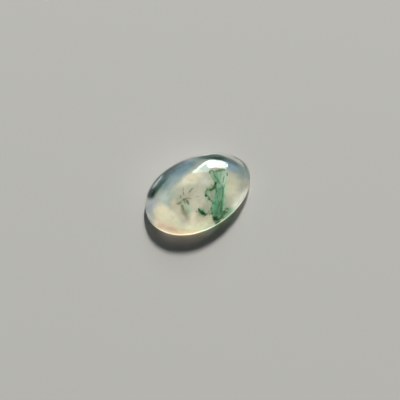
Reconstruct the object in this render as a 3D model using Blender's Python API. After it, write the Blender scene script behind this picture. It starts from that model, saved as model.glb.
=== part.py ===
"""A polished moss agate, hand-cut as an oval cabochon: one solid piece of stone.

It lies on its flat base, centred on the origin, with its long axis along X and its dome
towards +Z. The outline is a slightly egg-shaped oval, broader towards -X.
"""

import math

import bmesh
import bpy
from mathutils import Matrix

# Driving dimensions, in metres
LENGTH = 0.0180
WIDTH = 0.0122
HEIGHT = 0.0050
GIRDLE_HEIGHT = 0.0006  # the upright edge all round, before its lower corner is ground off
BASE_BEVEL = 0.00025  # the ground corner between the flat base and the edge
EGG_TAPER = 0.11  # how much narrower than the middle the +X end is, as a share of the width
DOME_FULLNESS = 2.15  # 2 is half an ellipse; more gives a flatter crown and rounder shoulders

# How finely the curved faces are cut
OUTLINE_POINTS = 128
DOME_RINGS = 26
SHARP_ANGLE = math.radians(30)  # edges that turn more than this stay crisp when shaded smooth

LEVEL = 1e-7  # how far a point of the flat base may be from height zero, from rounding

STONE_COLOUR = (0.70, 0.68, 0.58, 1.0)
POLISH_ROUGHNESS = 0.06


def clear_scene():
    for thing in list(bpy.data.objects):
        bpy.data.objects.remove(thing)


def dome_ring(step):
    """The height of a ring above the base, and its share of the full outline."""
    turn = 0.5 * math.pi * step / DOME_RINGS
    rise = HEIGHT - GIRDLE_HEIGHT
    height = GIRDLE_HEIGHT + rise * math.sin(turn) ** (2 / DOME_FULLNESS)
    share = math.cos(turn) ** (2 / DOME_FULLNESS)
    return height, share


def add_base(stone):
    """The flat base, as one oval face that looks down."""
    bmesh.ops.create_circle(stone, cap_ends=True, segments=OUTLINE_POINTS, radius=1.0)
    bmesh.ops.scale(stone, vec=(LENGTH / 2, WIDTH / 2, 1.0), verts=stone.verts)
    base = stone.faces[:][0]
    if base.normal.z > 0:
        bmesh.ops.reverse_faces(stone, faces=[base])
    return base


def raise_ring(stone, edges, height, share, last_height, last_share):
    """One more band of faces above these edges, and the edges at its top."""
    grown = bmesh.ops.extrude_edge_only(stone, edges=edges)["geom"]
    top_points = [part for part in grown if isinstance(part, bmesh.types.BMVert)]
    shrink = share / last_share
    bmesh.ops.scale(stone, vec=(shrink, shrink, 1.0), verts=top_points)
    bmesh.ops.translate(stone, vec=(0.0, 0.0, height - last_height), verts=top_points)
    return [part for part in grown if isinstance(part, bmesh.types.BMEdge)]


def add_edge_and_dome(stone, base):
    """The upright edge and then the dome, ring by ring, closed at the crown."""
    edges = list(base.edges)
    last_height, last_share = 0.0, 1.0
    for step in range(DOME_RINGS):
        height, share = dome_ring(step)
        edges = raise_ring(stone, edges, height, share, last_height, last_share)
        last_height, last_share = height, share
    crown = bmesh.ops.contextual_create(stone, geom=edges)["faces"]
    for point in bmesh.ops.poke(stone, faces=crown)["verts"]:
        point.co.z = HEIGHT


def grind_base_corner(stone):
    """The small bevel between the flat base and the upright edge."""
    corner = [edge for edge in stone.edges if all(abs(end.co.z) < LEVEL for end in edge.verts)]
    bmesh.ops.bevel(
        stone,
        geom=corner,
        offset=BASE_BEVEL,
        offset_type="OFFSET",
        affect="EDGES",
        segments=1,
        profile=0.5,
        material=-1,
    )


def taper_outline(stone):
    """Makes the oval egg-shaped: narrower towards +X and broader towards -X."""
    for point in stone.verts:
        point.co.y *= 1.0 - EGG_TAPER * point.co.x / (LENGTH / 2)


def fit_width(stone):
    """Brings the tapered outline back to its stated width, centred on the origin."""
    broadest = max(point.co.y for point in stone.verts)
    stone.transform(Matrix.Diagonal((1.0, WIDTH / 2 / broadest, 1.0, 1.0)))


def stone_material():
    material = bpy.data.materials.new("polished_agate")
    material.use_nodes = True
    shader = material.node_tree.nodes["Principled BSDF"]
    shader.inputs["Base Color"].default_value = STONE_COLOUR
    shader.inputs["Roughness"].default_value = POLISH_ROUGHNESS
    shader.inputs["Metallic"].default_value = 0.0
    return material


def make_moss_agate():
    stone = bmesh.new()
    base = add_base(stone)
    add_edge_and_dome(stone, base)
    grind_base_corner(stone)
    taper_outline(stone)
    fit_width(stone)
    bmesh.ops.recalc_face_normals(stone, faces=stone.faces)
    mesh = bpy.data.meshes.new("moss_agate")
    stone.to_mesh(mesh)
    stone.free()
    mesh.shade_smooth()
    mesh.set_sharp_from_angle(angle=SHARP_ANGLE)
    mesh.materials.append(stone_material())
    piece = bpy.data.objects.new("moss_agate", mesh)
    bpy.context.scene.collection.objects.link(piece)


clear_scene()
make_moss_agate()
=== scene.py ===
"""A polished moss agate cabochon: clear stone over a milky layer, with green moss grown in it.

Everything is in metres, +Z up, with the stone lying on its flat base and its long axis along X.
The moss is placed by where it is seen in the photograph: a line of sight through a pixel is bent
at the dome, and followed into the stone to a chosen height. The colour zones are placed in
millimetres from the stone's middle, or along its rim.
"""

import math
import random

import bmesh
import bpy
from mathutils import Matrix, Vector, noise


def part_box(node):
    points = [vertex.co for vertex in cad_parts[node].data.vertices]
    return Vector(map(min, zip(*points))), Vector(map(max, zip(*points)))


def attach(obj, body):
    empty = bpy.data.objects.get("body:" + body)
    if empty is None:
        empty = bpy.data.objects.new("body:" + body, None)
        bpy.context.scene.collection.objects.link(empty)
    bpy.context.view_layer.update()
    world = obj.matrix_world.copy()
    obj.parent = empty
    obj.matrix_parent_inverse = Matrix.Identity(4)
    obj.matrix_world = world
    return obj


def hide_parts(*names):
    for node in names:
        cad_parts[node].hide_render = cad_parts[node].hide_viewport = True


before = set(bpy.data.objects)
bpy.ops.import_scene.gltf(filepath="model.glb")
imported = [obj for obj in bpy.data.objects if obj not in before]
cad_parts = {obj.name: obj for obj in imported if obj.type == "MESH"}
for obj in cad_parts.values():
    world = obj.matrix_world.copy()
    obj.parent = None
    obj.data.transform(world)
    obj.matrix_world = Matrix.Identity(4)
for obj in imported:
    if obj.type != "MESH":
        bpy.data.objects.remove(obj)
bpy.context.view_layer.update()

MM = 0.001

# The stone's shape: its size from the frame, and the rest as in the solid but more finely cut
box_low, box_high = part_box("moss_agate")
LENGTH = box_high.x - box_low.x
WIDTH = box_high.y - box_low.y
HEIGHT = box_high.z
GIRDLE_HEIGHT = 0.6 * MM
BASE_BEVEL = 0.25 * MM
EGG_TAPER = 0.11
DOME_FULLNESS = 2.15
OUTLINE_POINTS = 256
DOME_RINGS = 64
SHARP_ANGLE = math.radians(35)
LEVEL = 1e-7  # how far a point of the flat base may be from height zero, from rounding
REFRACTION = 1.54  # chalcedony

# How the photograph sees the stone
PHOTO_SIZE = 400  # pixels, both ways
PIXELS_PER_MM = 6.49
SENSOR = 36.0  # the camera's sensor, in the unit of its lens
CAMERA_DISTANCE = 120 * MM
CAMERA_TURN = math.radians(-34.6)  # 0 looks along +Y
CAMERA_RISE = math.radians(56.0)
SIGHT_HEIGHT = 2.0 * MM  # the point over the stone's centre that SIGHT_PIXEL shows
SIGHT_PIXEL = (199.3, 188.1)
SIGHT_STEPS = 80  # how finely a line of sight is searched for the dome
SIGHT_HALVINGS = 24


def linear(red, green, blue):
    """A colour given as it looks on a screen, 0 to 255, as Blender's linear values."""
    return tuple(((v / 255 + 0.055) / 1.055) ** 2.4 if v > 10 else v / 255 / 12.92
                 for v in (red, green, blue)) + (1.0,)


# The stone's outline and dome, as formulas
def widest_share():
    """The widest half width of the tapered outline, as a share of the untapered one."""
    turns = [math.pi * step / OUTLINE_POINTS for step in range(OUTLINE_POINTS)]
    return max(math.sin(turn) * (1.0 - EGG_TAPER * math.cos(turn)) for turn in turns)


WIDTH_FIT = 1.0 / widest_share()


def outline_share(x, y):
    """0 on the stone's upright axis and 1 on its outline."""
    along = x / (LENGTH / 2)
    across = y / (WIDTH / 2 * WIDTH_FIT * max(1.0 - EGG_TAPER * along, 0.1))
    return math.hypot(along, across)


def dome_height(x, y):
    """The height of the polished dome over this place, or -1 outside the stone."""
    share = outline_share(x, y)
    if share >= 1.0:
        return -1.0
    rise = (1.0 - share ** DOME_FULLNESS) ** (1.0 / DOME_FULLNESS)
    return GIRDLE_HEIGHT + (HEIGHT - GIRDLE_HEIGHT) * rise


def dome_level(point):
    """Negative inside the dome and positive outside it."""
    rise = max(point.z - GIRDLE_HEIGHT, 0.0) / (HEIGHT - GIRDLE_HEIGHT)
    return outline_share(point.x, point.y) ** DOME_FULLNESS + rise ** DOME_FULLNESS - 1.0


def dome_normal(point):
    """The direction straight out of the dome's surface at this point."""
    step = 0.001 * MM
    slope = [dome_level(point + axis * step) - dome_level(point - axis * step)
             for axis in (Vector((1, 0, 0)), Vector((0, 1, 0)), Vector((0, 0, 1)))]
    return Vector(slope).normalized()


# The camera, and lines of sight into the stone
CAMERA_BACK = Vector((math.sin(CAMERA_TURN) * math.cos(CAMERA_RISE),
                      -math.cos(CAMERA_TURN) * math.cos(CAMERA_RISE),
                      math.sin(CAMERA_RISE)))
CAMERA_RIGHT = Vector((math.cos(CAMERA_TURN), math.sin(CAMERA_TURN), 0.0))
CAMERA_UP = CAMERA_BACK.cross(CAMERA_RIGHT)
CAMERA_AIM = (Vector((0.0, 0.0, SIGHT_HEIGHT))
              + CAMERA_RIGHT * ((PHOTO_SIZE / 2 - SIGHT_PIXEL[0]) / PIXELS_PER_MM * MM)
              - CAMERA_UP * ((PHOTO_SIZE / 2 - SIGHT_PIXEL[1]) / PIXELS_PER_MM * MM))
CAMERA_PLACE = CAMERA_AIM + CAMERA_BACK * CAMERA_DISTANCE


def line_of_sight(pixel):
    """The direction in which the camera sees this pixel of the photograph."""
    right = (pixel[0] - PHOTO_SIZE / 2) / PIXELS_PER_MM * MM
    down = (pixel[1] - PHOTO_SIZE / 2) / PIXELS_PER_MM * MM
    return (CAMERA_RIGHT * right - CAMERA_UP * down - CAMERA_BACK * CAMERA_DISTANCE).normalized()


def where_sight_enters(sight):
    """The point where a line of sight first meets the dome, or None."""
    start = (HEIGHT - CAMERA_PLACE.z) / sight.z
    end = (0.0 - CAMERA_PLACE.z) / sight.z
    last = start
    for step in range(1, SIGHT_STEPS + 1):
        reach = start + (end - start) * step / SIGHT_STEPS
        if dome_level(CAMERA_PLACE + sight * reach) < 0.0:
            for _ in range(SIGHT_HALVINGS):
                middle = (last + reach) / 2
                if dome_level(CAMERA_PLACE + sight * middle) < 0.0:
                    reach = middle
                else:
                    last = middle
            return CAMERA_PLACE + sight * reach
        last = reach
    return None


def in_stone(pixel, height):
    """The point at this height inside the stone that the photograph shows at this pixel."""
    sight = line_of_sight(pixel)
    entry = where_sight_enters(sight)
    if entry is None:
        return CAMERA_PLACE + sight * ((height - CAMERA_PLACE.z) / sight.z)
    normal = dome_normal(entry)
    facing = -sight.dot(normal)
    bent = math.sqrt(1.0 - (1.0 - facing * facing) / REFRACTION ** 2)
    inside = sight / REFRACTION + normal * (facing / REFRACTION - bent)
    return entry + inside * ((height - entry.z) / inside.z)


def kept_inside(point, margin):
    """The point, moved if need be to stay this far inside the stone's surface."""
    held = point.copy()
    reach = 1.0 - margin / (WIDTH / 2)
    share = outline_share(held.x, held.y)
    if share > reach:
        held.x *= reach / share
        held.y *= reach / share
    ceiling = dome_height(held.x, held.y) - margin
    held.z = min(max(held.z, margin), max(ceiling, margin))
    return held


def add_camera():
    lens = PIXELS_PER_MM / MM * CAMERA_DISTANCE * SENSOR / PHOTO_SIZE
    data = bpy.data.cameras.new("camera")
    data.sensor_width = SENSOR
    data.lens = lens
    data.clip_start = 1 * MM
    data.clip_end = 5.0
    camera = bpy.data.objects.new("camera", data)
    turn = Matrix((CAMERA_RIGHT, CAMERA_UP, CAMERA_BACK)).transposed().to_4x4()
    camera.matrix_world = Matrix.Translation(CAMERA_PLACE) @ turn
    bpy.context.scene.collection.objects.link(camera)
    bpy.context.scene.camera = camera


# Shader nodes
def add_node(tree, kind, settings=None, **inputs):
    """A new node with its settings and the values of its inputs, spaces written as _."""
    made = tree.nodes.new(kind)
    for name, value in (settings or {}).items():
        setattr(made, name, value)
    for name, value in inputs.items():
        made.inputs[name.replace("_", " ")].default_value = value
    return made


def feed(tree, value, socket):
    """Gives a socket its value: a node's output, or a plain number or colour."""
    if isinstance(value, bpy.types.NodeSocket):
        tree.links.new(value, socket)
    else:
        socket.default_value = value


def new_material(name):
    """A new material, its node tree and its main shader."""
    material = bpy.data.materials.new(name)
    material.use_nodes = True
    tree = material.node_tree
    return material, tree, tree.nodes["Principled BSDF"]


def make_matte(shader, roughness):
    """Gives a surface no gloss of its own."""
    shader.inputs["Roughness"].default_value = roughness
    shader.inputs["Specular IOR Level"].default_value = 0.0


def new_group(name, inputs, outputs):
    """A new shader node group with these named sockets, and its two end nodes."""
    group = bpy.data.node_groups.new(name, "ShaderNodeTree")
    for socket, kind in inputs:
        group.interface.new_socket(name=socket, in_out="INPUT", socket_type=kind)
    for socket, kind in outputs:
        group.interface.new_socket(name=socket, in_out="OUTPUT", socket_type=kind)
    return group, group.nodes.new("NodeGroupInput"), group.nodes.new("NodeGroupOutput")


def make_warp_group():
    """Object coordinates pushed about by soft noise, so that no edge is a clean curve."""
    group, given, result = new_group(
        "warped_place",
        (("Scale", "NodeSocketFloat"), ("Amount", "NodeSocketFloat")),
        (("Vector", "NodeSocketVector"),))
    place = group.nodes.new("ShaderNodeTexCoord")
    cloud = add_node(group, "ShaderNodeTexNoise", Detail=3.0)
    centred = add_node(group, "ShaderNodeVectorMath", {"operation": "SUBTRACT"})
    centred.inputs[1].default_value = (0.5, 0.5, 0.5)
    scaled = add_node(group, "ShaderNodeVectorMath", {"operation": "SCALE"})
    moved = add_node(group, "ShaderNodeVectorMath", {"operation": "ADD"})
    group.links.new(place.outputs["Object"], cloud.inputs["Vector"])
    group.links.new(given.outputs["Scale"], cloud.inputs["Scale"])
    group.links.new(cloud.outputs["Color"], centred.inputs[0])
    group.links.new(centred.outputs["Vector"], scaled.inputs[0])
    group.links.new(given.outputs["Amount"], scaled.inputs["Scale"])
    group.links.new(place.outputs["Object"], moved.inputs[0])
    group.links.new(scaled.outputs["Vector"], moved.inputs[1])
    group.links.new(moved.outputs["Vector"], result.inputs["Vector"])
    return group


def make_patch_group():
    """A mask that is 1 in the middle of a turned oval and fades to 0 at its edge."""
    group, given, result = new_group(
        "soft_patch",
        (("Vector", "NodeSocketVector"), ("Centre", "NodeSocketVector"),
         ("Size", "NodeSocketVector"), ("Turn", "NodeSocketVector"),
         ("Core", "NodeSocketFloat"), ("Strength", "NodeSocketFloat")),
        (("Mask", "NodeSocketFloat"),))
    placed = add_node(group, "ShaderNodeMapping", {"vector_type": "TEXTURE"})
    reach = add_node(group, "ShaderNodeVectorMath", {"operation": "LENGTH"})
    fade = add_node(group, "ShaderNodeMapRange", {"interpolation_type": "SMOOTHSTEP"})
    fade.inputs["From Max"].default_value = 1.0
    fade.inputs["To Max"].default_value = 0.0
    group.links.new(given.outputs["Vector"], placed.inputs["Vector"])
    group.links.new(given.outputs["Centre"], placed.inputs["Location"])
    group.links.new(given.outputs["Turn"], placed.inputs["Rotation"])
    group.links.new(given.outputs["Size"], placed.inputs["Scale"])
    group.links.new(placed.outputs["Vector"], reach.inputs[0])
    group.links.new(reach.outputs["Value"], fade.inputs["Value"])
    group.links.new(given.outputs["Core"], fade.inputs["From Min"])
    group.links.new(given.outputs["Strength"], fade.inputs["To Min"])
    group.links.new(fade.outputs["Result"], result.inputs["Mask"])
    return group


WARP = make_warp_group()
PATCH = make_patch_group()


def add_warp(tree, scale, amount):
    """The object's own coordinates, pushed about by noise of this scale by up to this amount."""
    warp = add_node(tree, "ShaderNodeGroup", {"node_tree": WARP}, Scale=scale, Amount=amount)
    return warp.outputs["Vector"]


def add_patch(tree, place, centre, size, turn, core, strength):
    """A soft oval mask, with its centre and half widths in mm."""
    patch = add_node(tree, "ShaderNodeGroup", {"node_tree": PATCH},
                     Centre=(centre[0] * MM, centre[1] * MM, 0.0),
                     Size=(size[0] * MM, size[1] * MM, 1.0),
                     Turn=(0.0, 0.0, math.radians(turn)), Core=core, Strength=strength)
    tree.links.new(place, patch.inputs["Vector"])
    return patch.outputs["Mask"]


def add_mix(tree, share, under, over, blend="MIX"):
    """Two colours mixed by a mask."""
    mix = add_node(tree, "ShaderNodeMix", {"data_type": "RGBA", "blend_type": blend})
    # this node's colour sockets share their names with its others, so they go by number
    feed(tree, share, mix.inputs[0])
    feed(tree, under, mix.inputs[6])
    feed(tree, over, mix.inputs[7])
    return mix.outputs[2]


def add_math(tree, operation, first, second, clamp=False):
    result = add_node(tree, "ShaderNodeMath", {"operation": operation, "use_clamp": clamp})
    feed(tree, first, result.inputs[0])
    feed(tree, second, result.inputs[1])
    return result.outputs["Value"]


def add_noise(tree, scale, detail):
    """Soft noise over the object's own coordinates."""
    cloud = add_node(tree, "ShaderNodeTexNoise", Scale=scale, Detail=detail)
    place = tree.nodes.new("ShaderNodeTexCoord")
    tree.links.new(place.outputs["Object"], cloud.inputs["Vector"])
    return cloud.outputs["Fac"]


def add_steps(tree, value, low, high, from_value=0.0, to_value=1.0):
    """A value between low and high, taken to between from_value and to_value with soft ends."""
    steps = add_node(tree, "ShaderNodeMapRange", {"interpolation_type": "SMOOTHSTEP"})
    steps.inputs["From Min"].default_value = low
    steps.inputs["From Max"].default_value = high
    steps.inputs["To Min"].default_value = from_value
    steps.inputs["To Max"].default_value = to_value
    tree.links.new(value, steps.inputs["Value"])
    return steps.outputs["Result"]


# Meshes
STONE = bpy.data.collections.new("stone")
bpy.context.scene.collection.children.link(STONE)


def finish_piece(name, shape, material, casts_shadow=True):
    """Makes the modelled shape a piece of the stone.

    The moss casts no shadow: it is fine growth, and the stone round it scatters light past it.
    """
    mesh = bpy.data.meshes.new(name)
    shape.to_mesh(mesh)
    shape.free()
    mesh.shade_smooth()
    mesh.set_sharp_from_angle(angle=SHARP_ANGLE)
    mesh.materials.append(material)
    piece = bpy.data.objects.new(name, mesh)
    STONE.objects.link(piece)
    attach(piece, "root")
    piece.visible_shadow = casts_shadow
    return piece


# The polished stone
POLISH_ROUGHNESS = 0.02
GROUND_ROUGHNESS = 0.45  # of the upright edge and the base, which are only ground
POLISH_START = 0.8 * GIRDLE_HEIGHT
HAZE_DENSITY = 6.0
HAZE_COLOUR = (0.55, 0.80, 0.88, 1.0)
TINT_DENSITY = 25.0
TINT_COLOUR = (0.86, 0.94, 0.90, 1.0)


def stone_material():
    """Clear chalcedony with a faint blue haze and a faint green tint."""
    material, tree, shader = new_material("polished_agate")
    shader.inputs["Base Color"].default_value = (1.0, 1.0, 1.0, 1.0)
    shader.inputs["IOR"].default_value = REFRACTION
    shader.inputs["Transmission Weight"].default_value = 1.0
    height = add_node(tree, "ShaderNodeSeparateXYZ")
    place = tree.nodes.new("ShaderNodeTexCoord").outputs["Object"]
    tree.links.new(place, height.inputs["Vector"])
    finish = add_steps(tree, height.outputs["Z"], POLISH_START, GIRDLE_HEIGHT,
                       GROUND_ROUGHNESS, POLISH_ROUGHNESS)
    tree.links.new(finish, shader.inputs["Roughness"])
    haze = add_node(tree, "ShaderNodeVolumeScatter", Density=HAZE_DENSITY, Anisotropy=0.1)
    haze.inputs["Color"].default_value = HAZE_COLOUR
    tint = add_node(tree, "ShaderNodeVolumeAbsorption", Density=TINT_DENSITY)
    tint.inputs["Color"].default_value = TINT_COLOUR
    both = tree.nodes.new("ShaderNodeAddShader")
    tree.links.new(haze.outputs["Volume"], both.inputs[0])
    tree.links.new(tint.outputs["Volume"], both.inputs[1])
    tree.links.new(both.outputs["Shader"], tree.nodes["Material Output"].inputs["Volume"])
    return material


def taper_to_outline(shape):
    """Gives a shape turned from an even oval the stone's egg shape."""
    for point in shape.verts:
        point.co.y *= WIDTH_FIT * (1.0 - EGG_TAPER * point.co.x / (LENGTH / 2))


def raise_ring(shape, edges, shrink, lift):
    """One more band of faces, scaled towards the middle and lifted, and its new edges."""
    grown = bmesh.ops.extrude_edge_only(shape, edges=edges)["geom"]
    points = [part for part in grown if isinstance(part, bmesh.types.BMVert)]
    bmesh.ops.scale(shape, vec=(shrink, shrink, 1.0), verts=points)
    bmesh.ops.translate(shape, vec=(0.0, 0.0, lift), verts=points)
    return [part for part in grown if isinstance(part, bmesh.types.BMEdge)]


def make_stone():
    stone = bmesh.new()
    bmesh.ops.create_circle(stone, cap_ends=True, segments=OUTLINE_POINTS, radius=1.0)
    bmesh.ops.scale(stone, vec=(LENGTH / 2, WIDTH / 2, 1.0), verts=stone.verts)
    edges = stone.edges[:]
    last_height, last_share = 0.0, 1.0
    for step in range(DOME_RINGS):
        turn = 0.5 * math.pi * step / DOME_RINGS
        rise = math.sin(turn) ** (2 / DOME_FULLNESS)
        height = GIRDLE_HEIGHT + (HEIGHT - GIRDLE_HEIGHT) * rise
        share = math.cos(turn) ** (2 / DOME_FULLNESS)
        edges = raise_ring(stone, edges, share / last_share, height - last_height)
        last_height, last_share = height, share
    crown = bmesh.ops.contextual_create(stone, geom=edges)["faces"]
    for point in bmesh.ops.poke(stone, faces=crown)["verts"]:
        point.co.z = HEIGHT
    corner = [edge for edge in stone.edges if all(abs(end.co.z) < LEVEL for end in edge.verts)]
    bmesh.ops.bevel(stone, geom=corner, offset=BASE_BEVEL, offset_type="OFFSET",
                    affect="EDGES", segments=3, profile=0.5, material=-1)
    taper_to_outline(stone)
    bmesh.ops.recalc_face_normals(stone, faces=stone.faces)
    piece = finish_piece("agate_stone", stone, stone_material())
    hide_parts("moss_agate")


# The milky layer that the colour zones lie in
LAYER_FLOOR = 0.05 * MM
LAYER_EDGE = 0.45 * MM
LAYER_TOP = 0.90 * MM
LAYER_INSET = 0.10 * MM
LAYER_RELIEF = 0.10 * MM
LAYER_RINGS = 40
LAYER_RIPPLES = 450.0  # ripples to a metre
ZONE_WANDER = 0.8 * MM  # how far noise pushes the edges of the colour zones
ZONE_WANDER_SCALE = 520.0
BLOTCH_SCALE = 1100.0
BLOTCH_STRENGTH = 0.38
BLOTCH_COLOUR = linear(222, 216, 196)
PINK_SCALE = 620.0
PINK_STRENGTH = 0.35
PINK_COLOUR = linear(250, 236, 230)
CREAM_GREY = linear(206, 201, 180)  # the layer's own colour, under its zones

# The colour zones, each painted over the ones before it. A zone is an oval that fades at its edge:
# whether it is placed in mm from the stone's middle or along its rim, its middle and half widths,
# its turn in degrees, the share of it at full strength, its strength, and its colour. Along the
# rim, a place is an angle in degrees from +X and a distance out from the middle, in hundredths.
ZONES = (
    # the cloudy middle
    ("flat", (-0.1, 1.8), (2.7, 1.2), 0, 0.35, 1.0, linear(243, 236, 210)),
    ("flat", (-1.6, 0.1), (2.0, 0.8), 10, 0.1, 0.8, linear(192, 184, 158)),
    ("flat", (1.4, 0.3), (1.6, 1.2), 0, 0.1, 0.7, linear(230, 227, 212)),
    ("flat", (-1.4, -2.2), (2.6, 1.7), 0, 0.15, 0.9, linear(226, 220, 198)),
    ("flat", (-2.3, -1.3), (1.2, 0.7), 0, 0.1, 0.7, linear(220, 210, 186)),
    ("flat", (-4.4, 1.2), (2.4, 2.1), 20, 0.1, 1.0, linear(172, 182, 166)),
    # the far side: grey, blue grey and green grey, then teal bands with pale lines between
    # the darkening to the far rim is painted shade, and the lines along the rim are painted reflections
    ("rim", (92, 96), (90, 60), 0, 0.35, 1.0, linear(146, 162, 166)),
    ("flat", (-3.0, 2.5), (3.2, 0.9), 8, 0.2, 0.8, linear(148, 165, 166)),
    ("flat", (-0.4, 3.6), (4.6, 1.3), 2, 0.15, 0.9, linear(120, 148, 162)),
    ("flat", (-3.7, 3.0), (2.0, 0.9), 15, 0.1, 0.8, linear(110, 136, 134)),
    ("flat", (-5.0, 1.5), (1.6, 0.9), 20, 0.1, 0.7, linear(200, 208, 204)),
    ("rim", (106, 90), (44, 32), 0, 0.4, 0.95, linear(14, 54, 56)),
    ("rim", (132, 70.6), (22, 7.0), 16, 0.30, 0.90, linear(48, 82, 76)),
    ("rim", (143, 80), (14, 12), 0, 0.35, 1.0, linear(0, 38, 34)),
    ("rim", (125, 78.2), (15, 2.4), 6, 0.25, 0.90, linear(190, 204, 200)),
    ("rim", (72, 77), (16, 9), 0, 0.2, 0.7, linear(140, 156, 158)),
    ("rim", (54, 82.5), (26, 9.5), 0, 0.4, 1.0, linear(230, 234, 220)),
    ("rim", (40, 71.0), (34, 8.0), 0, 0.5, 1.0, linear(46, 78, 66)),
    # the narrow end: slate, a dark and a mauve line, and beige; the lines along its rim are painted
    # reflections
    ("flat", (7.6, -0.8), (2.7, 3.0), 0, 0.25, 1.0, linear(126, 138, 132)),
    ("flat", (6.0, 0.6), (1.8, 1.6), -40, 0.15, 0.95, linear(138, 162, 178)),
    ("rim", (16, 75), (26, 6), 0, 0.3, 0.7, linear(90, 104, 106)),
    ("rim", (14, 82.0), (22, 4.6), 2, 0.35, 0.95, linear(196, 188, 182)),
    ("rim", (20, 86.6), (42, 2.6), 3, 0.5, 0.95, linear(84, 94, 82)),
    ("flat", (3.7, -2.0), (2.0, 2.0), 30, 0.3, 1.0, linear(230, 222, 198)),
    ("flat", (5.9, -2.9), (2.2, 1.8), 10, 0.2, 0.9, linear(160, 155, 142)),
    # the broad end: lilac grey, white at the tip, and a cream band
    ("flat", (-7.4, 1.6), (2.4, 1.4), 16, 0.2, 1.0, linear(174, 179, 184)),
    ("flat", (-8.8, 0.6), (1.0, 2.0), 0, 0.4, 1.0, linear(214, 216, 210)),
    ("flat", (-6.3, -1.2), (1.7, 3.2), 2, 0.45, 1.0, linear(242, 234, 204)),
    # the near side: cream, with peach and pink streaks, white and pale green
    # the brightest cream and white are partly painted glow, light gathered at the near side
    ("flat", (-3.8, -5.5), (6.4, 2.9), -4, 0.5, 1.0, linear(255, 250, 216)),
    ("flat", (-8.8, -3.0), (2.4, 3.0), -30, 0.5, 1.0, linear(255, 250, 226)),
    ("flat", (-7.9, -1.3), (1.1, 1.7), -10, 0.1, 0.9, linear(252, 224, 196)),
    ("flat", (-7.0, -2.6), (0.9, 2.0), 28, 0.1, 0.9, linear(236, 202, 168)),
    ("flat", (-5.9, -3.9), (2.0, 0.6), -26, 0.1, 0.8, linear(244, 222, 180)),
    ("flat", (-2.7, -3.4), (2.6, 1.2), -22, 0.2, 0.9, linear(255, 238, 212)),
    ("flat", (-4.2, -1.4), (1.05, 2.3), -4, 0.6, 0.7, linear(222, 213, 184)),
    ("flat", (4.6, -5.3), (4.4, 2.5), 22, 0.5, 1.0, linear(255, 253, 240)),
    # the peach and pale green along the near rim are a painted bright rim
    ("rim", (-136, 97), (28, 8), 0, 0.2, 0.7, linear(255, 228, 190)),
    ("rim", (-100, 98), (20, 7), 0, 0.3, 0.8, linear(228, 242, 222)),
    ("flat", (1.5, -5.7), (2.1, 1.6), 0, 0.25, 0.90, linear(184, 220, 190)),
    # green stains round the trunk, its crown, the hook, the wedge, the twigs and the olive tuft
    ("flat", (1.4, -2.3), (3.7, 1.1), 50, 0.3, 0.75, linear(182, 212, 180)),
    ("flat", (3.6, 0.1), (1.3, 0.9), 30, 0.3, 0.9, linear(198, 216, 196)),
    ("flat", (0.6, -1.2), (1.0, 0.8), 0, 0.1, 0.5, linear(176, 196, 164)),
    ("flat", (-1.9, -2.9), (0.8, 0.7), 0, 0.2, 0.6, linear(190, 208, 176)),
    ("flat", (1.2, -4.8), (1.6, 0.9), 10, 0.3, 0.9, linear(136, 172, 134)),
    ("rim", (-95, 97), (5, 9), 0, 0.4, 0.9, linear(72, 116, 78)),
    ("flat", (-0.8, -5.1), (0.7, 0.8), 0, 0.3, 0.9, linear(120, 168, 120)),
    ("flat", (-3.6, -0.3), (1.2, 0.8), 20, 0.1, 0.6, linear(172, 180, 150)),
    ("flat", (-3.7, -1.8), (0.9, 1.5), -20, 0.1, 0.6, linear(182, 192, 164)),
    ("flat", (-3.3, -1.3), (0.55, 0.85), -20, 0.2, 0.85, linear(228, 238, 210)),
    ("flat", (-4.2, -2.9), (0.8, 0.5), 20, 0.1, 0.5, linear(204, 180, 154)),
)


def add_rim_place(tree, place):
    """A place given along the rim, in mm: an angle in degrees and an outline share in hundredths."""
    split = add_node(tree, "ShaderNodeSeparateXYZ")
    tree.links.new(place, split.inputs["Vector"])
    along = add_math(tree, "DIVIDE", split.outputs["X"], LENGTH / 2)
    taper = add_math(tree, "MULTIPLY", along, -EGG_TAPER)
    reach = add_math(tree, "MULTIPLY", add_math(tree, "ADD", taper, 1.0), WIDTH / 2 * WIDTH_FIT)
    across = add_math(tree, "DIVIDE", split.outputs["Y"], reach)
    angle = add_math(tree, "ARCTAN2", across, along)
    along_squared = add_math(tree, "MULTIPLY", along, along)
    across_squared = add_math(tree, "MULTIPLY", across, across)
    share = add_math(tree, "SQRT", add_math(tree, "ADD", along_squared, across_squared), 0.0)
    joined = add_node(tree, "ShaderNodeCombineXYZ")
    tree.links.new(add_math(tree, "MULTIPLY", angle, math.degrees(MM)), joined.inputs["X"])
    tree.links.new(add_math(tree, "MULTIPLY", share, 100 * MM), joined.inputs["Y"])
    return joined.outputs["Vector"]


def layer_material():
    """Milky chalcedony in soft colour zones: cream, peach and blue grey, and teal painted shade at the
    far rim.
    """
    material, tree, shader = new_material("milky_agate")
    place = add_warp(tree, ZONE_WANDER_SCALE, ZONE_WANDER)
    places = {"flat": place, "rim": add_rim_place(tree, place)}
    colour = CREAM_GREY
    # some zones paint light: shade and reflections at the far rim, glow at the near side
    for way, centre, size, turn, core, strength, zone_colour in ZONES:
        mask = add_patch(tree, places[way], centre, size, turn, core, strength)
        colour = add_mix(tree, mask, colour, zone_colour)
    blotches = add_steps(tree, add_noise(tree, BLOTCH_SCALE, 4.0), 0.42, 0.70, 0.0, BLOTCH_STRENGTH)
    colour = add_mix(tree, blotches, colour, BLOTCH_COLOUR, "MULTIPLY")
    pinks = add_steps(tree, add_noise(tree, PINK_SCALE, 3.0), 0.50, 0.68, 0.0, PINK_STRENGTH)
    colour = add_mix(tree, pinks, colour, PINK_COLOUR, "MULTIPLY")
    tree.links.new(colour, shader.inputs["Base Color"])
    make_matte(shader, 0.7)
    return material


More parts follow.
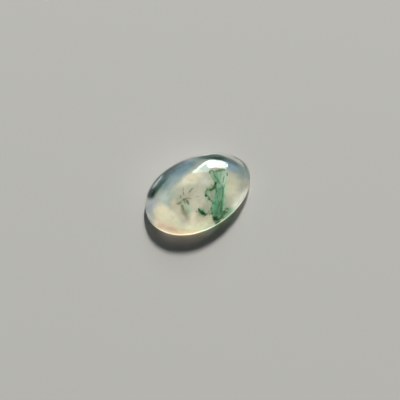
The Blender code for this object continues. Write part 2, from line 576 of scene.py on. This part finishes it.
def make_milky_layer():
    layer = bmesh.new()
    bmesh.ops.create_circle(layer, cap_ends=True, segments=OUTLINE_POINTS, radius=1.0)
    bmesh.ops.scale(layer, vec=(LENGTH / 2 - LAYER_INSET, WIDTH / 2 - LAYER_INSET, 1.0),
                    verts=layer.verts)
    edges = raise_ring(layer, layer.edges[:], 1.0, LAYER_EDGE)
    for step in range(LAYER_RINGS - 1):
        left = LAYER_RINGS - step
        edges = raise_ring(layer, edges, (left - 1) / left, 0.0)
    middle = bmesh.ops.contextual_create(layer, geom=edges)["faces"]
    bmesh.ops.poke(layer, faces=middle)
    taper_to_outline(layer)
    for point in layer.verts:
        if point.co.z > LAYER_EDGE / 2:
            share = min(outline_share(point.co.x, point.co.y), 1.0)
            swell = (LAYER_TOP - LAYER_EDGE) * math.sqrt(max(1.0 - share ** 2, 0.0))
            ripple = LAYER_RELIEF * noise.fractal(point.co * LAYER_RIPPLES, 1.0, 2.0, 3)
            point.co.z += swell + ripple * (1.0 - share ** 6)
        point.co.z += LAYER_FLOOR
    bmesh.ops.recalc_face_normals(layer, faces=layer.faces)
    finish_piece("milky_layer", layer, layer_material())


# Threads, flakes and grains of moss
THREAD_SIDES = 5
THREAD_SIDE = Vector((0.31, 0.22, 0.92))  # which way a thread's first ring is turned
MOSS_MARGIN = 0.2 * MM  # how far the growth stays inside the stone's surface
FLAKE_MARGIN = 0.15 * MM
SHOOT_STEP = 0.07 * MM
ROUTE_PITCH = 0.5 * MM  # the pitch of a route's unevenness
STRAND_PITCH = 0.25 * MM
BUNDLE_SHAKE = 0.055 * MM
BRANCH_SHAKE = 0.07 * MM
NOISE_SEED = 3
noise.seed_set(NOISE_SEED)  # without a seed, noise_vector would differ from run to run

# The smallest and largest half width of a thread, grain or flake, in mm
STRAND_WIDTHS = (0.010, 0.024)
SHOOT_WIDTHS = (0.007, 0.016)
TUFT_WIDTHS = (0.012, 0.028)
GRAIN_SIZES = (0.02, 0.05)
FLAKE_SIZES = (0.015, 0.045)

SCRATCH = bpy.data.meshes.new("scratch")


def add_part(tangle, part, shade):
    """Joins a small modelled part to the tangle, dark at a shade of 0 and pale at 1."""
    tone = part.verts.layers.float.new("shade")
    for point in part.verts:
        point[tone] = shade
    bmesh.ops.recalc_face_normals(part, faces=part.faces)
    part.to_mesh(SCRATCH)
    part.free()
    tangle.from_mesh(SCRATCH)


def thread_place(points, widths, step, side):
    """The place and size of a thread's ring at this step, and the direction of its side."""
    ahead = (points[min(step + 1, len(points) - 1)] - points[max(step - 1, 0)]).normalized()
    across = (side - ahead * side.dot(ahead)).normalized()
    up = ahead.cross(across)
    width = widths[step]
    place = Matrix.Translation(points[step]) @ Matrix((across, up, ahead)).transposed().to_4x4()
    return place @ Matrix.Diagonal((width, width, width, 1.0)), across


def add_thread(tangle, points, widths, shade):
    """One closed thread through these points, with its half width at each."""
    thread = bmesh.new()
    bmesh.ops.create_circle(thread, cap_ends=True, segments=THREAD_SIDES, radius=1.0)
    tip = thread.faces[:][0]
    place, side = thread_place(points, widths, 0, THREAD_SIDE)
    bmesh.ops.transform(thread, matrix=place, verts=thread.verts)
    for step in range(1, len(points)):
        tip = bmesh.ops.extrude_discrete_faces(thread, faces=[tip])["faces"][0]
        next_place, side = thread_place(points, widths, step, side)
        bmesh.ops.transform(thread, matrix=next_place @ place.inverted(), verts=tip.verts)
        place = next_place
    start = [edge for edge in thread.edges if edge.is_boundary]
    bmesh.ops.contextual_create(thread, geom=start)
    add_part(tangle, thread, shade)


def add_grain(tangle, rng, centre, size, shade):
    """A small uneven lump."""
    grain = bmesh.new()
    bmesh.ops.create_icosphere(grain, subdivisions=1, radius=1.0)
    for point in grain.verts:
        point.co *= rng.uniform(0.65, 1.25)
    turn = Matrix.Rotation(rng.uniform(0, math.tau), 4, random_direction(rng))
    length = size * rng.uniform(0.7, 1.4)
    thickness = size * rng.uniform(0.5, 1.0)
    place = Matrix.Translation(centre) @ turn @ Matrix.Diagonal((length, size, thickness, 1.0))
    bmesh.ops.transform(grain, matrix=place, verts=grain.verts)
    add_part(tangle, grain, shade)


def random_direction(rng):
    height = rng.uniform(-1.0, 1.0)
    turn = rng.uniform(0.0, math.tau)
    reach = math.sqrt(1.0 - height * height)
    return Vector((reach * math.cos(turn), reach * math.sin(turn), height))


def smooth_route(marks, steps):
    """This many points on a smooth curve through these marks, spread evenly over them."""
    route = []
    last = len(marks) - 1
    for step in range(steps):
        where = step / (steps - 1) * last
        at = min(int(where), last - 1)
        past = where - at
        before, start = marks[max(at - 1, 0)], marks[at]
        end, after = marks[at + 1], marks[min(at + 2, last)]
        route.append(0.5 * ((2 * start) + (end - before) * past
                            + (2 * before - 5 * start + 4 * end - after) * past ** 2
                            + (3 * start - before - 3 * end + after) * past ** 3))
    return route


def shaken(route, rng, amount, pitch):
    """The route with a natural unevenness of this size, over this pitch."""
    seed = Vector((rng.uniform(-50, 50), rng.uniform(-50, 50), rng.uniform(-50, 50)))
    return [point + amount * noise.noise_vector(point / pitch + seed) for point in route]


def tapered(rng, steps, thickness, tip_share, uneven=0.3):
    """Half widths from thickness down to its tip_share, never quite even."""
    return [thickness * (1.0 + (tip_share - 1.0) * step / (steps - 1))
            * rng.uniform(1.0 - uneven, 1.0 + uneven) for step in range(steps)]


def grow_shoot(tangle, rng, start, heading, reach, thickness, shade, forks=0, curl=0.55):
    """A crooked shoot from start, with smaller ones forking off it."""
    steps = max(5, min(12, int(reach / SHOOT_STEP)))
    points = [start]
    aim = heading.normalized()
    for _ in range(steps - 1):
        aim = (aim + curl * random_direction(rng)).normalized()
        aim.z *= 0.8  # growth spreads more than it climbs
        points.append(kept_inside(points[-1] + aim * (reach / steps), MOSS_MARGIN))
    add_thread(tangle, points, tapered(rng, steps, thickness, 0.35), shade)
    if forks:
        for _ in range(rng.randint(1, 3)):
            at = rng.randrange(1, steps - 1)
            along = (points[at + 1] - points[at - 1]).normalized()
            side = (along + 1.1 * random_direction(rng)).normalized()
            grow_shoot(tangle, rng, points[at], side, reach * rng.uniform(0.35, 0.65),
                       thickness * 0.7, shade + 0.08, forks - 1, curl)


def grow_branch(tangle, rng, middle, spread, strands, shoots, reach, shade):
    """A loose branch of fine strands along the line of its middle, with shoots all round it."""
    steps = len(middle)
    for _ in range(strands):
        aside = spread * rng.gauss(0.0, 0.5) * random_direction(rng)
        strand = [kept_inside(point + aside, MOSS_MARGIN)
                  for point in shaken(middle, rng, spread * 0.9, STRAND_PITCH)]
        start = rng.randrange(0, steps // 4)
        end = steps - rng.randrange(0, steps // 4)
        width = rng.uniform(*STRAND_WIDTHS) * MM
        add_thread(tangle, strand[start:end], tapered(rng, end - start, width, 0.6, 0.4),
                   shade + rng.uniform(-0.15, 0.15))
    for _ in range(shoots):
        at = rng.randrange(steps - 1)
        along = (middle[at + 1] - middle[at]).normalized()
        heading = 0.4 * along + random_direction(rng)
        start = middle[at].lerp(middle[at + 1], rng.random()) + 0.4 * spread * random_direction(rng)
        grow_shoot(tangle, rng, kept_inside(start, MOSS_MARGIN), heading,
                   reach * rng.uniform(0.3, 1.0), rng.uniform(*SHOOT_WIDTHS) * MM,
                   shade + rng.uniform(0.0, 0.5), forks=1)


def route_from_photo(marks, steps, rng, shake):
    """A smooth uneven route through marks, each a pixel across, a pixel down and a height in mm."""
    points = [in_stone((across, down), height * MM) for across, down, height in marks]
    route = shaken(smooth_route(points, steps), rng, shake, ROUTE_PITCH)
    return [kept_inside(point, MOSS_MARGIN) for point in route]


def make_moss_colour_group():
    """Darker and paler growth: each strand's own shade, mottled by soft noise."""
    group, given, result = new_group(
        "moss_colour",
        (("Dark", "NodeSocketColor"), ("Pale", "NodeSocketColor"), ("Scale", "NodeSocketFloat")),
        (("Color", "NodeSocketColor"),))
    strand = add_node(group, "ShaderNodeAttribute", {"attribute_name": "shade"})
    place = group.nodes.new("ShaderNodeTexCoord")
    cloud = add_node(group, "ShaderNodeTexNoise", Detail=3.0)
    group.links.new(place.outputs["Object"], cloud.inputs["Vector"])
    group.links.new(given.outputs["Scale"], cloud.inputs["Scale"])
    mottle = add_steps(group, cloud.outputs["Fac"], 0.3, 0.7, -0.14, 0.14)
    share = add_math(group, "ADD", strand.outputs["Fac"], mottle, clamp=True)
    colour = add_mix(group, share, given.outputs["Dark"], given.outputs["Pale"])
    group.links.new(colour, result.inputs["Color"])
    return group


MOSS_COLOUR = make_moss_colour_group()
MOTTLE_SCALE = 2200.0  # of the noise that mottles the growth


def moss_material(name, dark, pale):
    material, tree, shader = new_material(name)
    colour = add_node(tree, "ShaderNodeGroup", {"node_tree": MOSS_COLOUR},
                      Dark=dark, Pale=pale, Scale=MOTTLE_SCALE)
    tree.links.new(colour.outputs["Color"], shader.inputs["Base Color"])
    make_matte(shader, 0.9)
    return material


DARK_MOSS = moss_material("dark_moss", linear(0, 80, 36), linear(112, 166, 116))
GREEN_MOSS = moss_material("green_moss", linear(48, 126, 86), linear(148, 210, 170))
PALE_MOSS = moss_material("pale_moss", linear(146, 200, 165), linear(208, 233, 208))
OLIVE_MOSS = moss_material("olive_moss", linear(92, 112, 70), linear(186, 182, 152))

# Where the photograph shows the moss. A bundle's rows give its left and right edge in pixels,
# the pixel row and the height in mm. Its tones are its strands' shades from left to right.
# A shade is 0 where the growth is darkest and 1 where it is palest, and is held to those.
TRUNK = (
    (213.4, 218.8, 218.6, 0.95),
    (212.4, 220.6, 215.5, 1.15),
    (211.6, 222.6, 211.0, 1.35),
    (211.8, 223.2, 206.0, 1.6),
    (213.2, 223.6, 201.5, 1.8),
    (214.8, 223.9, 196.0, 2.05),
    (215.6, 224.0, 190.0, 2.3),
    (216.4, 223.4, 184.5, 2.5),
)
TRUNK_TONES = (0.76, 0.62, 0.52, 0.38, 0.78)
LOW_TRUNK_TONES = (1.10, 1.05, 0.95, 0.75, 1.00)
LEFT_CROWN = (
    (216.8, 222.0, 186.0, 2.45),
    (215.0, 220.2, 182.0, 2.55),
    (213.7, 218.6, 178.5, 2.6),
    (212.1, 216.7, 175.0, 2.65),
    (208.8, 215.4, 170.0, 2.75),
)
LEFT_CROWN_TONES = (1.10, 0.95, 0.60, 0.62, 0.95)
RIGHT_CROWN = (
    (219.6, 223.6, 185.0, 2.45),
    (218.0, 225.0, 179.0, 2.55),
    (215.8, 226.4, 174.0, 2.6),
    (214.2, 227.0, 167.8, 2.7),
)
RIGHT_CROWN_TONES = (0.45, 0.65, 0.95, 1.00, 0.90)

# The tones of the pale streaks on the trunk, on its upper part and in its crown
STREAK_TONES = RIGHT_CROWN_TONES
UPPER_STREAK_TONES = (0.3, 0.7, 0.2)
CROWN_STREAK_TONES = (0.5, 0.8, 1.0, 1.0)

# The branches: their spread in mm, strands, shoots, the shoots' reach in mm, shade, and marks
# that give a pixel across, a pixel down and the height in mm
CROWN_LINES = (
    (0.10, 10, 16, 0.12, 0.50, ((210.8, 174.8, 2.95), (209.6, 172.4, 3.0), (211.2, 171.0, 3.0),
                                (213.4, 171.4, 3.0), (214.6, 173.6, 2.95))),
    (0.18, 5, 16, 0.18, 0.90, ((213.8, 173.4, 2.95), (215.0, 176.4, 2.9), (217.2, 179.2, 2.85),
                                (219.0, 182.2, 2.8))),
    (0.08, 3, 10, 0.15, 0.90, ((210.8, 175.2, 2.95), (212.6, 178.4, 2.9), (214.6, 181.6, 2.8),
                               (215.4, 183.2, 2.75))),
    (0.26, 12, 30, 0.22, 0.78, ((215.8, 170.8, 3.0), (218.0, 170.4, 3.0), (221.0, 169.8, 2.95),
                                (226.0, 169.4, 2.9))),
    (0.16, 14, 20, 0.12, 0.45, ((227.0, 172.6, 2.85), (227.2, 175.6, 2.8))),
    (0.10, 12, 16, 0.12, 0.38, ((224.6, 176.0, 2.8), (223.6, 178.6, 2.8), (223.2, 181.0, 2.75),
                               (222.8, 184.0, 2.7))),
    (0.09, 5, 12, 0.12, 0.70, ((224.4, 184.6, 2.65), (224.2, 188.2, 2.6))),
)
TRUNK_LINES = (
    (0.20, 24, 10, 0.15, 0.86, ((221.5, 199.4, 2.35), (221.5, 203.0, 2.2), (221.4, 207.0, 2.0),
                                (221.4, 209.5, 1.9))),
    (0.16, 8, 6, 0.15, 0.75, ((218.2, 194.8, 2.45), (217.8, 198.2, 2.35))),
    (0.12, 6, 6, 0.15, 0.72, ((222.8, 188.0, 2.7), (222.9, 193.0, 2.6), (222.6, 198.0, 2.4))),
    (0.24, 5, 8, 0.20, 0.90, ((216.6, 210.5, 1.75), (216.8, 214.6, 1.6))),
)
HOOK = (
    (0.24, 22, 80, 0.24, 0.48, ((215.6, 183.0, 2.7), (214.9, 185.4, 2.65), (214.6, 187.6, 2.6),
                                (213.0, 188.9, 2.5), (211.4, 190.0, 2.4), (209.6, 190.2, 2.3))),
    (0.22, 8, 90, 0.25, 0.84, ((210.4, 190.2, 2.3), (207.8, 189.4, 2.25), (206.2, 191.4, 2.2),
                                (205.4, 194.0, 2.15), (205.8, 195.8, 2.1))),
    (0.24, 6, 90, 0.27, 0.84, ((207.0, 195.9, 2.1), (208.8, 197.6, 2.1), (209.8, 199.6, 2.0),
                                (211.6, 201.4, 1.95), (213.8, 203.6, 1.9))),
    (0.18, 20, 50, 0.22, 0.40, ((215.9, 183.4, 2.7), (215.8, 186.8, 2.65), (216.2, 189.2, 2.6),
                                (216.6, 191.6, 2.5))),
    (0.10, 5, 20, 0.20, 0.80, ((213.8, 187.4, 2.4), (211.6, 184.6, 2.4))),
    (0.10, 5, 20, 0.20, 0.80, ((210.8, 189.8, 2.3), (209.0, 187.0, 2.3))),
    (0.10, 5, 20, 0.20, 0.75, ((207.2, 189.6, 2.2), (206.8, 187.4, 2.2))),
)
WEDGE = (
    (0.19, 30, 44, 0.20, 0.36, ((198.8, 208.6, 1.3), (199.6, 210.6, 1.3), (200.8, 212.0, 1.3),
                                (202.0, 213.0, 1.3))),
    (0.26, 54, 50, 0.20, 0.04, ((200.9, 211.9, 1.3), (202.7, 213.1, 1.3), (204.2, 213.9, 1.3),
                                (205.6, 214.2, 1.3))),
    (0.24, 8, 60, 0.24, 0.62, ((204.6, 214.4, 1.3), (206.0, 214.0, 1.3), (207.6, 213.6, 1.3))),
    (0.30, 0, 60, 0.22, 0.72, ((207.6, 212.4, 1.4), (209.4, 211.0, 1.5), (211.4, 209.4, 1.6))),
)
FOOT = (
    (0.44, 90, 60, 0.25, -0.20, ((214.4, 217.8, 1.5), (215.6, 218.6, 1.4), (217.0, 218.8, 1.35))),
    (0.48, 40, 50, 0.25, 0.95, ((216.6, 212.8, 1.8), (216.2, 215.2, 1.7))),
    (0.30, 40, 60, 0.25, 0.34, ((217.2, 218.6, 1.2), (219.4, 218.4, 1.1), (222.0, 217.4, 1.0))),
    (0.24, 32, 44, 0.20, 0.30, ((218.0, 219.8, 1.3), (219.2, 220.8, 1.15), (220.6, 221.4, 1.05))),
    (0.20, 16, 40, 0.20, 0.45, ((215.0, 222.8, 0.65), (216.8, 223.0, 0.6))),
)
TWIGS = (
    (0.28, 30, 60, 0.24, 0.50, ((221.2, 210.4, 1.8), (221.8, 213.0, 1.65), (221.6, 216.0, 1.5))),
    (0.20, 26, 50, 0.22, 0.44, ((224.3, 210.8, 1.4), (224.2, 214.8, 1.4))),
    (0.17, 18, 50, 0.22, 0.50, ((222.4, 211.6, 1.5), (225.2, 212.3, 1.4), (228.2, 212.6, 1.3))),
    (0.18, 16, 50, 0.22, 0.95, ((225.8, 209.2, 1.3), (229.2, 208.4, 1.2))),
    (0.28, 26, 60, 0.28, 0.50, ((221.4, 216.0, 1.15), (222.6, 216.8, 1.0), (223.6, 217.4, 0.9))),
)
OLIVE_BRANCHES = (
    (0.11, 9, 14, 0.15, 0.45, ((182.8, 187.6, 1.6), (183.8, 190.6, 1.6))),
    (0.11, 9, 16, 0.15, 0.40, ((183.4, 191.8, 1.5), (183.5, 195.0, 1.5))),
    (0.11, 9, 20, 0.15, 0.42, ((193.2, 188.0, 1.6), (191.4, 190.0, 1.6), (189.8, 191.6, 1.5),
                               (188.0, 193.8, 1.5))),
    (0.11, 9, 14, 0.15, 0.40, ((180.6, 195.4, 1.4), (180.7, 198.4, 1.4))),
    (0.17, 16, 40, 0.22, 0.40, ((176.4, 203.6, 1.3), (178.8, 203.0, 1.3), (180.4, 202.2, 1.4),
                                (181.6, 200.6, 1.4))),
    (0.22, 18, 44, 0.24, 0.50, ((181.4, 205.2, 1.3), (182.6, 207.6, 1.3), (183.8, 210.2, 1.2))),
    (0.20, 20, 44, 0.24, 0.30, ((183.0, 199.6, 1.5), (184.2, 200.0, 1.5), (185.4, 199.2, 1.5))),
    (0.18, 14, 40, 0.24, 0.40, ((184.0, 201.2, 1.5), (185.6, 203.4, 1.5))),
    (0.20, 18, 44, 0.24, 0.40, ((186.8, 200.2, 1.5), (187.8, 202.0, 1.5), (188.6, 204.2, 1.4))),
    (0.16, 8, 24, 0.22, 0.55, ((184.8, 198.4, 1.5), (188.4, 198.2, 1.4), (191.6, 198.6, 1.4))),
    (0.10, 5, 12, 0.15, 0.60, ((195.6, 196.2, 1.4), (199.8, 196.4, 1.4))),
    (0.26, 8, 30, 0.30, 1.00, ((184.4, 210.8, 1.2), (186.0, 214.0, 1.1), (187.6, 218.6, 1.0))),
)

# Tufts where a branch thickens: pixel, height and reach in mm, number of shoots, shade
DARK_TUFTS = (
    ((215.8, 183.2), 2.75, 0.26, 100, 0.0), ((214.6, 187.8), 2.65, 0.22, 50, 0.25),
    ((211.0, 190.2), 2.4, 0.22, 50, 0.15), ((206.0, 195.6), 2.2, 0.28, 80, 0.10),
    ((209.3, 198.9), 2.05, 0.22, 30, 0.50), ((213.3, 203.2), 2.0, 0.30, 36, 0.50),
    ((199.1, 209.2), 1.35, 0.20, 44, 0.20), ((203.9, 213.5), 1.35, 0.25, 60, -0.1),
    ((215.5, 218.3), 1.45, 0.38, 220, -0.2), ((224.2, 213.6), 1.45, 0.24, 50, 0.50),
    ((211.4, 208.6), 1.75, 0.26, 26, 0.65), ((211.8, 213.4), 1.6, 0.34, 40, 0.65),
)
CROWN_TUFTS = (
    ((216.6, 171.6), 2.8, 0.42, 40, 0.55), ((220.4, 171.0), 2.8, 0.40, 40, 0.50),
    ((223.6, 170.2), 2.8, 0.36, 30, 0.60), ((221.0, 174.6), 2.7, 0.34, 14, 1.00),
    ((219.2, 177.6), 2.7, 0.24, 8, 1.00),
)
OLIVE_TUFTS = (
    ((184.0, 199.5), 1.5, 0.26, 60, 0.10), ((187.6, 202.4), 1.5, 0.26, 50, 0.25),
    ((179.8, 202.8), 1.35, 0.24, 30, 0.40), ((183.0, 208.8), 1.3, 0.28, 36, 0.40),
    ((190.0, 191.4), 1.5, 0.18, 14, 0.50), ((209.6, 213.8), 1.3, 0.26, 26, 0.60),
    ((196.4, 211.3), 1.2, 0.16, 14, 0.60),
)

# Faint green haze, as scattered flakes: pixel, height and spread in mm, number of flakes
PALE_HAZE = (
    ((220.4, 175.0), 2.5, 0.9, 460), ((219.2, 185.4), 2.9, 0.35, 130), ((213.6, 178.0), 2.5, 0.5, 160),
    ((208.2, 193.4), 2.0, 0.4, 110), ((207.6, 199.6), 1.9, 0.4, 110), ((202.0, 209.6), 1.2, 0.25, 90),
    ((198.8, 214.3), 1.15, 0.25, 70), ((228.5, 211.8), 1.0, 0.8, 380), ((225.5, 216.4), 0.9, 0.6, 260),
    ((215.4, 221.6), 0.8, 0.35, 120), ((224.4, 205.0), 1.6, 0.35, 160), ((224.9, 196.0), 1.9, 0.3, 120),
    ((186.2, 206.4), 1.3, 0.35, 60), ((188.6, 209.6), 1.2, 0.35, 50),
    ((188.0, 213.6), 1.05, 0.45, 60), ((225.4, 189.0), 2.2, 0.35, 120),
    ((228.0, 179.0), 2.0, 0.7, 160), ((226.0, 183.0), 2.2, 0.4, 90), ((219.4, 185.6), 2.85, 0.3, 120),
)


def bundle_route(rows, share, depth, steps, rng, first, last):
    """A strand of a bundle: share is 0 at its left edge and 1 at its right, depth is in mm."""
    marks = []
    for left, right, down, height in rows[first:last]:
        marks.append((left + (right - left) * share, down, height + depth))
    return route_from_photo(marks, steps, rng, BUNDLE_SHAKE)


def tone_across(tones, share):
    """The tone at this share of the way from the first to the last."""
    where = min(max(share, 0.0), 1.0) * (len(tones) - 1)
    at = min(int(where), len(tones) - 2)
    return tones[at] + (tones[at + 1] - tones[at]) * (where - at)


def grow_bundle(tangle, rng, rows, tones, count, thickness, shoots, steps=14, beyond=0.0,
                depth=0.3):
    """Strands side by side, each with a few short shoots. Some may lie beyond the bundle's edges
    by a share of its width, and they differ in height by up to depth either way, in mm.
    """
    for _ in range(count):
        first = rng.randrange(0, len(rows) - 3)
        last = rng.randrange(first + 3, len(rows) + 1)
        share = rng.uniform(-beyond, 1.0 + beyond)
        route = bundle_route(rows, share, rng.uniform(-depth, depth), steps, rng, first, last)
        route = route[rng.randrange(0, steps // 4):steps - rng.randrange(0, steps // 4)]
        width = thickness * rng.uniform(0.5, 1.3)
        shade = tone_across(tones, share) + rng.gauss(0.0, 0.16)
        add_thread(tangle, route, tapered(rng, len(route), width, 0.4), shade)
        for _ in range(shoots):
            at = rng.randrange(1, len(route) - 1)
            along = (route[at + 1] - route[at]).normalized()
            grow_shoot(tangle, rng, route[at], along + 0.45 * random_direction(rng),
                       rng.uniform(0.15, 0.40) * MM, width * 0.45, shade + rng.uniform(-0.1, 0.2))


def grow_branches(tangle, rng, branches):
    for spread, strands, shoots, reach, shade, marks in branches:
        middle = route_from_photo(marks, 6 + 3 * len(marks), rng, BRANCH_SHAKE)
        grow_branch(tangle, rng, middle, spread * MM, strands, shoots, reach * MM, shade)


def grow_tufts(tangle, rng, tufts):
    """Dense little tufts of short shoots and grains."""
    for pixel, height, reach, count, shade in tufts:
        middle = in_stone(pixel, height * MM)
        for _ in range(count):
            start = middle + 0.45 * reach * MM * random_direction(rng) * rng.random()
            grow_shoot(tangle, rng, kept_inside(start, MOSS_MARGIN), random_direction(rng),
                       reach * MM * rng.uniform(0.4, 1.0), rng.uniform(*TUFT_WIDTHS) * MM,
                       shade + rng.uniform(0.0, 0.35), curl=0.7)
            centre = middle + 0.8 * reach * MM * random_direction(rng) * rng.random() ** 0.6
            add_grain(tangle, rng, kept_inside(centre, MOSS_MARGIN),
                      rng.uniform(*GRAIN_SIZES) * MM, shade + rng.uniform(0.0, 0.2))


def scatter_haze(tangle, rng, patches):
    """Tiny flakes, closer together in the middle of each patch."""
    for pixel, height, spread, count in patches:
        middle = in_stone(pixel, height * MM)
        for _ in range(count):
            offset = Vector((rng.gauss(0, 0.5), rng.gauss(0, 0.5), rng.gauss(0, 0.3))) * spread * MM
            add_grain(tangle, rng, kept_inside(middle + offset, FLAKE_MARGIN),
                      rng.uniform(*FLAKE_SIZES) * MM, rng.random())


def make_trunk():
    """The broad green trunk and its crown: strands side by side that spread at the top."""
    rng = random.Random(21)
    tangle = bmesh.new()
    grow_bundle(tangle, rng, TRUNK, TRUNK_TONES, count=520, thickness=0.04 * MM, shoots=1)
    grow_bundle(tangle, rng, TRUNK[:4], LOW_TRUNK_TONES, count=70, thickness=0.03 * MM,
                shoots=1, steps=10, depth=0.45)
    grow_bundle(tangle, rng, LEFT_CROWN, LEFT_CROWN_TONES, count=70, thickness=0.026 * MM,
                shoots=1, steps=10)
    grow_bundle(tangle, rng, RIGHT_CROWN, RIGHT_CROWN_TONES, count=10, thickness=0.022 * MM,
                shoots=1, steps=10)
    grow_tufts(tangle, rng, CROWN_TUFTS)
    finish_piece("moss_trunk", tangle, GREEN_MOSS, casts_shadow=False)


def make_pale_moss():
    """Pale growth: streaks on the trunk, and the haze in its crown, by its foot and in the tuft."""
    rng = random.Random(8)
    tangle = bmesh.new()
    grow_bundle(tangle, rng, TRUNK, STREAK_TONES, count=60, thickness=0.022 * MM,
                shoots=3, beyond=0.12, depth=0.42)
    grow_bundle(tangle, rng, TRUNK[4:], UPPER_STREAK_TONES, count=40, thickness=0.024 * MM,
                shoots=1, steps=10, depth=0.42)
    grow_bundle(tangle, rng, RIGHT_CROWN, CROWN_STREAK_TONES, count=40, thickness=0.022 * MM,
                shoots=2, steps=10)
    scatter_haze(tangle, rng, PALE_HAZE)
    finish_piece("pale_moss_haze", tangle, PALE_MOSS, casts_shadow=False)


def make_dark_branches():
    """The dark lines, the hooked branch and the wedge, and the trunk's foot with its twigs."""
    rng = random.Random(5)
    tangle = bmesh.new()
    for branches in (CROWN_LINES, TRUNK_LINES, HOOK, WEDGE):
        grow_branches(tangle, rng, branches)
    grow_tufts(tangle, rng, DARK_TUFTS)
    finish_piece("dark_moss_branches", tangle, DARK_MOSS, casts_shadow=False)
    foot = bmesh.new()
    for branches in (FOOT, TWIGS):
        grow_branches(foot, rng, branches)
    finish_piece("dark_moss_foot", foot, DARK_MOSS, casts_shadow=False)


def make_olive_moss():
    """The olive growth at the stone's broad end, and a smudge beside the wedge."""
    rng = random.Random(11)
    tangle = bmesh.new()
    grow_branches(tangle, rng, OLIVE_BRANCHES)
    grow_tufts(tangle, rng, OLIVE_TUFTS)
    finish_piece("olive_moss", tangle, OLIVE_MOSS, casts_shadow=False)


# The floor and the light
FLOOR_HALF_SIZE = 20.0
FLOOR_GAP = 0.02 * MM  # keeps the base clear of the floor
LIGHT_DISTANCE = 3.0


def add_floor():
    floor = bmesh.new()
    bmesh.ops.create_grid(floor, x_segments=1, y_segments=1, size=FLOOR_HALF_SIZE)
    bmesh.ops.translate(floor, vec=(0.0, 0.0, -FLOOR_GAP), verts=floor.verts)
    mesh = bpy.data.meshes.new("floor")
    floor.to_mesh(mesh)
    floor.free()
    material, _, shader = new_material("pale_floor")
    shader.inputs["Base Color"].default_value = linear(160, 158, 154)
    make_matte(shader, 1.0)
    mesh.materials.append(material)
    piece = bpy.data.objects.new("floor", mesh)
    bpy.context.scene.collection.objects.link(piece)


def add_softbox(name, shape, turn, rise, width, height, brightness, roll=0.0,
                colour=(1.0, 1.0, 1.0), mirrored=True, only_stone=False):
    """A flat soft light. Its turn, from +Y towards +X, and its rise say where the stone sees it,
    and its width and height are the angles that it fills there. All four are in degrees.
    """
    sides = [2 * LIGHT_DISTANCE * math.tan(math.radians(angle) / 2) for angle in (width, height)]
    light = bpy.data.lights.new(name, "AREA")
    light.shape = shape
    light.size, light.size_y = sides
    light.energy = brightness * math.pi * sides[0] * sides[1]
    light.color = colour
    lamp = bpy.data.objects.new(name, light)
    bpy.context.scene.collection.objects.link(lamp)
    turn, rise = math.radians(turn), math.radians(rise)
    level = math.cos(rise)
    toward = Vector((math.sin(turn) * level, math.cos(turn) * level, math.sin(rise)))
    lamp.location = toward * LIGHT_DISTANCE
    facing = toward.to_track_quat("Z", "Y").to_matrix() @ Matrix.Rotation(math.radians(roll), 3, "Z")
    lamp.rotation_euler = facing.to_euler()
    lamp.visible_camera = False
    lamp.visible_glossy = mirrored
    if only_stone:
        lamp.light_linking.receiver_collection = STONE


def add_world():
    """Dim light from all round, with a pale background for the camera."""
    world = bpy.data.worlds.new("studio")
    bpy.context.scene.world = world
    world.use_nodes = True
    tree = world.node_tree
    fill = tree.nodes["Background"]
    fill.inputs["Color"].default_value = (0.90, 0.95, 1.0, 1.0)
    fill.inputs["Strength"].default_value = 0.02
    backdrop = add_node(tree, "ShaderNodeBackground", Strength=1.0)
    backdrop.inputs["Color"].default_value = linear(196, 194, 189)
    rays = tree.nodes.new("ShaderNodeLightPath")
    mix = tree.nodes.new("ShaderNodeMixShader")
    tree.links.new(rays.outputs["Is Camera Ray"], mix.inputs[0])
    tree.links.new(fill.outputs[0], mix.inputs[1])
    tree.links.new(backdrop.outputs[0], mix.inputs[2])
    tree.links.new(mix.outputs[0], tree.nodes["World Output"].inputs["Surface"])


add_camera()
make_stone()
make_milky_layer()
make_trunk()
make_pale_moss()
make_dark_branches()
make_olive_moss()
add_floor()
add_softbox("key", "DISK", turn=43, rise=36, width=7, height=7, brightness=385.0,
            colour=(1.0, 0.975, 0.94))
add_softbox("window", "ELLIPSE", turn=48, rise=29.8, width=31.5, height=16, brightness=8.0,
            roll=-31, colour=(0.88, 0.97, 1.0))
add_softbox("window side", "RECTANGLE", turn=38.5, rise=33.5, width=14.5, height=29,
            brightness=4.6, roll=-17, colour=(0.55, 0.85, 1.0))
add_softbox("window frame", "RECTANGLE", turn=31.9, rise=31.0, width=3.6, height=27.5,
            brightness=8.0, roll=-18, colour=(0.80, 0.96, 1.0))
add_softbox("front strip", "RECTANGLE", turn=195, rise=0.6, width=132, height=1.2,
            brightness=258.0, mirrored=False, only_stone=True)
add_softbox("back strip", "RECTANGLE", turn=28, rise=1.5, width=95, height=3, brightness=0.8)
add_world()
bpy.data.meshes.remove(SCRATCH)
bpy.context.scene.view_settings.view_transform = "Standard"
bpy.context.scene.cycles.volume_bounces = 3
bpy.context.scene.cycles.transparent_max_bounces = 32
